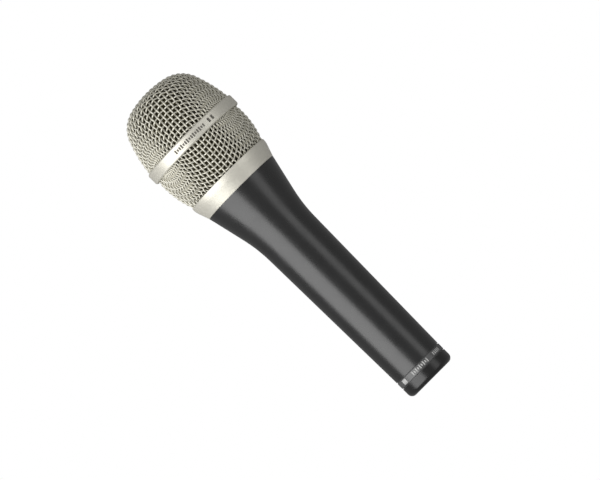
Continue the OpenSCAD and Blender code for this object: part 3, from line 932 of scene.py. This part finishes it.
def build_neck_ring():
    """The neck ring with the thread that the collar climbs, at the pitch that the frame's coupling gives."""
    lo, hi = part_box("neck_ring")
    pitch = 2 * math.pi * frame["record"]["behaviour"]["couplings"][0]["ratio"]
    depth, run_out, edge, step, clear = 0.5 * MM, 0.9 * MM, 0.5 * MM, 1 * MM, 0.02 * MM
    rows_a_turn = 14
    steep, crest_flat = 1.7, 0.35  # the slope of the thread's sides, and how much is cut off at the crest
    skin = 0.01 * MM  # points this close to the crest belong to the threaded wall
    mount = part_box("shock_mount")[1].x
    bore, body_r, crest = mount - CLAMPED_WIDTH, hi.x - step, hi.x
    clamp_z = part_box("mount_ring")[0].z - CLAMPED_HEIGHT
    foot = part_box("handle_shell")[1].z + clear
    rows = int(rows_a_turn * (hi.z - edge - foot) / pitch)
    wall = np.column_stack([np.full(rows, crest), np.linspace(foot, hi.z - edge, rows)])
    outline = np.vstack([
        [[bore, lo.z], [body_r, lo.z], [body_r, foot]],
        wall,
        [[crest - edge, hi.z], [mount, hi.z], [mount, clamp_z], [bore, clamp_z]],
    ])

    def threaded(verts):
        r, turn = np.hypot(verts[:, 0], verts[:, 1]), np.arctan2(verts[:, 1], verts[:, 0])
        phase = (verts[:, 2] - foot) / pitch - turn / (2 * math.pi)
        groove = np.clip(steep * np.abs(2 * (phase % 1) - 1) - crest_flat, 0, 1)
        fade = np.clip((verts[:, 2] - foot) / run_out, 0, 1) * np.clip((hi.z - verts[:, 2]) / run_out, 0, 1)
        cut = np.where(r > crest - skin, depth * groove * fade, 0)
        return verts * np.column_stack([1 - cut / r, 1 - cut / r, np.ones(len(r))])

    ring = spun("neck_ring_threaded", outline, "handle", ALLOY, "machined_alloy", threaded, segments=240)
    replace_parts(ring, "neck_ring")


def printed(r, z, height, start, turn):
    """Points and faces of a bar of ink on a round face, from a bearing that is 0 in front and grows to -X."""
    ink, segment = 0.02 * MM, 1.5  # the segment is in degrees
    lo, hi = z - height / 2, z + height / 2
    bar = [[r - ink, lo], [r + ink, lo], [r + ink, hi], [r - ink, hi]]
    return lathe(bar, max(2, int(turn / segment)), start=-90 - start - turn, turn=turn)


def build_marks():
    """Plain printed bars: pale ones on the identification ring and dark ones on the middle band. Each has a
    height, and a bearing and a turn in degrees."""
    lo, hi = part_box("id_ring")
    z = (lo.z + hi.z) / 2
    bars = [printed(hi.x, z, 2.5 * MM, 43, 13)]
    bars += [printed(hi.x, z, (2.1, 1.3)[k % 2] * MM, 20 - 5 * k, 3) for k in range(9)]
    bars += [printed(hi.x, z, 1.7 * MM, -40 - 5 * k, 3) for k in range(5)]
    add_mesh("id_ring_print", *joined(bars), "handle", PALE_INK, "ring_paint")
    lo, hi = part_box("mid_band")
    z = (lo.z + hi.z) / 2
    bars = [printed(hi.x, z, (2.0, 1.2, 1.6)[k % 3] * MM, 20.5 - 2.8 * k, 1.7) for k in range(15)]
    bars += [printed(hi.x, z, 2.2 * MM, start, 2.6) for start in (-27, -32)]
    add_mesh("mid_band_print", *joined(bars), "grille_head", DARK_INK, "satin_nickel")


# ---------------------------------------------------------------- stage, light and camera


def area_light(name, azimuth, size, power):
    """A softbox level with the microphone's middle, which it faces. Azimuth 0 is the camera's side, and it
    grows towards +X."""
    distance, height = 1.0, 0.5 * HEIGHT
    data = bpy.data.lights.new(name, "AREA")
    data.shape = "RECTANGLE"
    data.size, data.size_y = size
    data.energy = power
    lamp = bpy.data.objects.new(name, data)
    a = math.radians(azimuth)
    lamp.location = (distance * math.sin(a), -distance * math.cos(a), height)
    toward = Vector((0, 0, height)) - lamp.location
    lamp.rotation_euler = toward.to_track_quat("-Z", "Y").to_euler()
    lamp.visible_camera = False
    bpy.context.scene.collection.objects.link(lamp)


def build_stage():
    """A pale round floor, which glows a little to the camera so that it shows white."""
    radius, sides, glow = 0.9, 96, 0.42
    floor = bpy.data.meshes.new("floor")
    floor.from_pydata([(*polar(radius, 360 * k / sides), 0) for k in range(sides)], [], [tuple(range(sides))])
    look = Look("stage_floor", (0.86, 0.86, 0.86), 0.8)
    look.tint(look.noise(60 * MM, detail=2), 0.01)
    seen = look.node("ShaderNodeLightPath").outputs["Is Camera Ray"]
    look.set("Emission Color", (1, 1, 1, 1))
    look.link(look.math("MULTIPLY", seen, glow), look.shader.inputs["Emission Strength"])
    floor.materials.append(look.material)
    piece = bpy.data.objects.new("floor", floor)
    bpy.context.scene.collection.objects.link(piece)
    piece.visible_glossy = False
    piece.visible_shadow = False


def build_lights():
    """Two tall softboxes, a broad one on the left and a dim narrow one on the right, in a white studio that
    shows bright but lights the microphone only a little."""
    ambient = 0.24
    area_light("key_left", azimuth=-48, size=(1.25, 1.5), power=13.0)
    area_light("fill_right", azimuth=49, size=(0.46, 1.5), power=1.75)
    world = bpy.data.worlds.new("studio")
    bpy.context.scene.world = world
    world.use_nodes = True
    tree = world.node_tree
    back = tree.nodes["Background"]
    back.inputs["Color"].default_value = (1, 1, 1, 1)
    dim = tree.nodes.new("ShaderNodeBackground")
    dim.inputs["Color"].default_value = (1, 1, 1, 1)
    dim.inputs["Strength"].default_value = ambient
    path = tree.nodes.new("ShaderNodeLightPath")
    mix = tree.nodes.new("ShaderNodeMixShader")
    tree.links.new(path.outputs["Is Camera Ray"], mix.inputs[0])
    tree.links.new(dim.outputs[0], mix.inputs[1])
    tree.links.new(back.outputs[0], mix.inputs[2])
    tree.links.new(mix.outputs[0], tree.nodes["World Output"].inputs["Surface"])
    bpy.context.scene.view_settings.view_transform = "Standard"
    bpy.context.scene.view_settings.look = "None"


def build_camera():
    """A long lens, level with the tail, rolled so that the head points to the upper left."""
    aim = Vector((2 * MM, 0, 0.473 * HEIGHT))
    distance, lens, clip_end = 2.7, 354, 20
    lean = math.radians(45.1)
    data = bpy.data.cameras.new("camera")
    data.lens = lens
    data.clip_end = clip_end
    camera = bpy.data.objects.new("camera", data)
    eye = Vector((aim.x, -distance, 0))
    forward = (aim - eye).normalized()
    right = forward.cross(Vector((0, 0, 1))).normalized()
    up = right.cross(forward)
    screen_x = math.cos(lean) * right - math.sin(lean) * up
    screen_y = math.sin(lean) * right + math.cos(lean) * up
    turn = Matrix((screen_x, screen_y, -forward)).transposed()
    camera.matrix_world = Matrix.Translation(eye) @ turn.to_4x4()
    bpy.context.scene.collection.objects.link(camera)
    bpy.context.scene.camera = camera


build_camera()
build_stage()
build_lights()
dress_nodes()
build_baskets()
build_foam()
build_felt()
build_front_cloth()
build_port_cloth()
build_shock_mount()
build_diaphragm()
build_voice_coil()
build_leads()
build_neck_ring()
build_marks()
